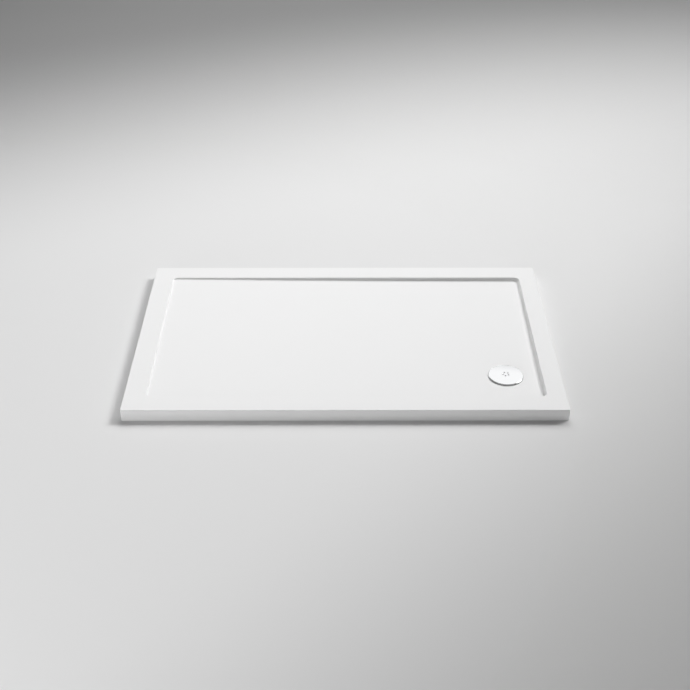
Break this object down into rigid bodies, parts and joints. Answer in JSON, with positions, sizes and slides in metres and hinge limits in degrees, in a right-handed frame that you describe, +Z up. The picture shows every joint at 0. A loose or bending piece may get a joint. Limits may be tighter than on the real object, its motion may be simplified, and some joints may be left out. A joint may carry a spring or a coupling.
{
  "type": "shower tray",
  "caption": "Low rectangular shower tray in glossy white with a recessed standing area that falls to an offset corner waste under a domed chrome cover, with its trap below.",
  "frame": {"origin": "middle of the tray's underside", "axes": "+X along the tray's length towards the end with the waste, +Y to the back, +Z up out of the tray"},
  "size_m": [1.4, 0.9, 0.0995],
  "materials": {
    "stone_resin": "cast resin filled with crushed stone, matt",
    "white_acrylic": "vacuum-formed acrylic-capped sheet, glossy",
    "white_polypropylene": "injection moulded, satin",
    "black_rubber": "moulded, dull",
    "natural_nylon": "stamped sheet, satin",
    "stainless_steel": "bright drawn",
    "chrome_plate": "bright chrome plate on moulded plastic"
  },
  "bodies": {
    "tray": {"tray_core": "stone_resin", "tray_shell": "white_acrylic", "flange_seal": "black_rubber", "waste_flange": "white_polypropylene", "body_seal": "black_rubber", "trap_body": "white_polypropylene", "flange_screws": "stainless_steel", "outlet_seal": "black_rubber", "outlet_slip_ring": "natural_nylon", "outlet_nut": "white_polypropylene"},
    "siphon_insert": {"dip_tube": "white_polypropylene", "siphon_o_ring": "black_rubber", "siphon_cup": "white_polypropylene"},
    "cover": {"waste_cover": "chrome_plate"}
  },
  "joints": [
    {"name": "insert_lift", "type": "slide", "parent": "tray", "child": "siphon_insert", "axis": [0, 0, 1], "range_m": [0, 0.1]},
    {"name": "cover_lift", "type": "slide", "parent": "siphon_insert", "child": "cover", "axis": [0, 0, 1], "range_m": [0, 0.06]}
  ]
}
